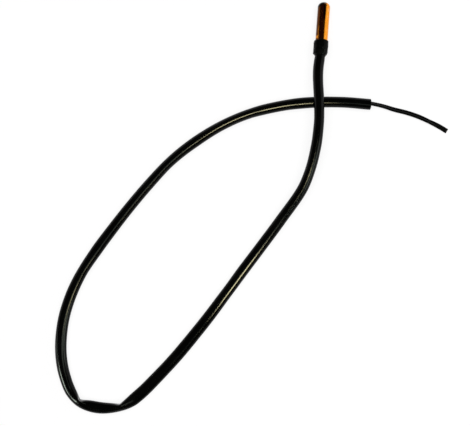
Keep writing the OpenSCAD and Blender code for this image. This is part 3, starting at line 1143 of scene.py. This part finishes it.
# %% [markdown]
# ## Floor and backdrop
#
# A white floor under a product is often lit until it burns out, which would also
# flatten the object. Here the floor is pale paper that takes a soft shadow. For
# the camera and for reflections it also glows: a little less than white beside
# the object, so that the shadow stays, and fully white from a metre out. A low
# ring far away closes the view from the side.

# %% Floor and backdrop
FLOOR_SIZE, BACKDROP_R, BACKDROP_HIGH = 40, 10, 2.2

deselect()
bpy.ops.mesh.primitive_plane_add(size=FLOOR_SIZE)
floor = bpy.context.object
floor.name = "paper_floor"
bpy.ops.mesh.primitive_cylinder_add(
    vertices=96, radius=BACKDROP_R, depth=BACKDROP_HIGH, end_fill_type="NOTHING"
)
backdrop = bpy.context.object
backdrop.name = "far_backdrop"
backdrop.location.z = 1
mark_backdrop(floor, backdrop)
print("backdrop", BACKDROP_R, "m out")

# %% Paper that glows
# How strongly it glows: near the object, and from a metre out
GLOW_NEAR, GLOW_FAR = (0.3, 0.82), (1, 1)

paper, tree = new_finish(
    "white paper", Base_Color=(0.9, 0.9, 0.9, 1), Roughness=0.9, Specular_IOR_Level=0.0
)
light_path = node(tree, "ShaderNodeLightPath").outputs
seen = maths(tree, "MAXIMUM", light_path["Is Camera Ray"], light_path["Is Glossy Ray"])
seen = maths(tree, "MAXIMUM", seen, light_path["Is Transmission Ray"])
where = node(tree, "ShaderNodeTexCoord").outputs["Object"]
far_out = node(tree, "ShaderNodeVectorMath", _0=where)
far_out.operation = "LENGTH"
glowing = ramp(tree, far_out.outputs["Value"], GLOW_NEAR, GLOW_FAR)
glow = node(tree, "ShaderNodeEmission", Color=(1, 1, 1, 1), Strength=1.0)
mixed = node(tree, "ShaderNodeMixShader", Fac=maths(tree, "MULTIPLY", seen, glowing))
matt = tree.nodes["Principled BSDF"]
connect(tree, mixed, {"_1": matt.outputs[0], "_2": glow.outputs[0]})
tree.links.new(mixed.outputs[0], tree.nodes["Material Output"].inputs["Surface"])
# The glow is only looked at, so it isn't searched for as a lamp
paper.cycles.emission_sampling = "NONE"
dress(floor, paper)
dress(backdrop, paper)
print("finish:", paper.name)

# %% [markdown]
# ## Lamps
#
# Black plastic is shaped only by what it reflects. A wide soft lamp overhead
# gives the light and the soft shadow, and is kept out of the reflections. A soft
# box on the right gives the copper its bright side, and a dim warm card lights
# its left. Each highlight on the sleeve has a lamp of its own: a small cream one
# close by draws a thin bright line, and a larger green-grey one further off a
# wide dull band. Most have a narrow beam, so that a lamp marks its own stretch
# and no other. A spot lamp also has a narrow beam, but only an area lamp has a
# face that a gloss can show.

# %% Lamp helper
CREAM, GREEN_GREY = (1, 0.91, 0.52), (0.88, 1, 0.86)


def lamp(name, at, towards, width, height, brightness, colour=(1, 1, 1), spread=180):
    """An area lamp whose face looks as bright as asked, where 1 is white."""
    data = bpy.data.lights.new(name, "AREA")
    data.shape = "RECTANGLE"
    data.size, data.size_y = width, height
    half = math.radians(spread) / 2
    data.spread = 2 * half
    data.energy = brightness * math.pi * width * height * (1 - half / math.tan(half))
    data.color = colour
    made = bpy.data.objects.new(name, data)
    made.location = at
    made.rotation_euler = (Vector(at) - Vector(towards)).to_track_quat("Z", "Y").to_euler()
    made.visible_camera = False
    bpy.context.scene.collection.objects.link(made)
    return made


def glint(name, spot, around, down, distance, width, height, brightness, spread, colour):
    """A lamp in a given direction from a spot, which shows only as a reflection."""
    around, down, spot = math.radians(around), math.radians(down), Vector(spot)
    level = math.sin(down)
    way = Vector((level * math.cos(around), level * math.sin(around), math.cos(down)))
    made = lamp(name, spot + distance * way, spot, width, height, brightness, colour, spread)
    made.visible_diffuse = False


print("lamp helpers ready")

# %% Lamps
# Each one's place, the spot it shines at, its width and height in metres, and its brightness
overhead = lamp("overhead", (-0.05, -0.09, 1.4), (-0.05, -0.09, 0), 1.8, 1.8, 3.2)
overhead.visible_glossy = False
lamp("side_box", (0.481, 0.1, 0.275), (0, 0.063, 0.003), 0.55, 0.4, 1.0)
lamp("left_card", (-0.5, 0, 0.22), (0, 0, 0), 0.3, 0.3, 0.085, (1, 0.55, 0.4))

# The spot that each shines at, its direction from there in degrees round from +X and down
# from upright, its distance, width and height in metres, its brightness, beam and colour
GLINTS = [
    ("diagonal_glint", (-0.0335, -0.1269, 0), -37.5, 29.5, 0.15, 0.036, 0.07, 150, 20, CREAM),
    ("upper_glint", (-0.0315, -0.039, 0), -62.5, 21, 0.15, 0.046, 0.064, 110, 20, CREAM),
    ("left_glint", (-0.1135, -0.149, 0), -28, 35, 0.25, 0.03, 0.07, 66, 15, CREAM),
    ("arc_glint", (-0.101, -0.087, 0), -44, 27, 0.5, 0.12, 0.1, 6, 16, GREEN_GREY),
    ("low_panel", (0, -0.062, 0.008), -21, 60, 0.5, 0.25, 0.1, 8.5, 180, GREEN_GREY),
    ("tall_panel", (-0.115, -0.165, 0), -10, 35, 0.6, 0.12, 0.45, 4.6, 90, GREEN_GREY),
    ("far_left_glint", (-0.112, -0.179, 0), -149, 58, 0.35, 0.13, 0.1, 66, 26, GREEN_GREY),
    ("far_left_card", (-0.115, -0.165, 0), -168, 74, 0.45, 0.12, 0.1, 10, 20, GREEN_GREY),
    ("kink_glint", (-0.0935, -0.1935, 0), -118, 50, 0.5, 0.1, 0.1, 25, 14, GREEN_GREY),
    ("collar_glint", (0.001, -0.0115, 0.006), -48, 50, 0.5, 0.08, 0.08, 115, 9, GREEN_GREY),
]
for row in GLINTS:
    glint(*row)

# %% Room light
# The rest of the room is a very dim warm glow from all sides
ROOM_COLOUR, ROOM_STRENGTH = (1, 0.4, 0.3, 1), 0.014

world = bpy.data.worlds.new("dim_room")
world.use_nodes = True
bpy.context.scene.world = world
room = world.node_tree.nodes["Background"]
room.inputs["Color"].default_value = ROOM_COLOUR
room.inputs["Strength"].default_value = ROOM_STRENGTH
print("room light", ROOM_STRENGTH)

# %% [markdown]
# ## Sizes and the end
#
# The visible model must stay inside the CAD model's box, so both boxes are kept
# side by side, and the last lines print how far it grows past that box on each side.

# %% Sizes
boxes = {"cad": [list(c) for c in CAD_BOX], "visual": [list(c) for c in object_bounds()]}
for side in range(3):
    grow = [boxes["cad"][0][side] - boxes["visual"][0][side],
            boxes["visual"][1][side] - boxes["cad"][1][side]]
    print("XYZ"[side], "grows", [round(g / MM, 2) for g in grow], "mm")
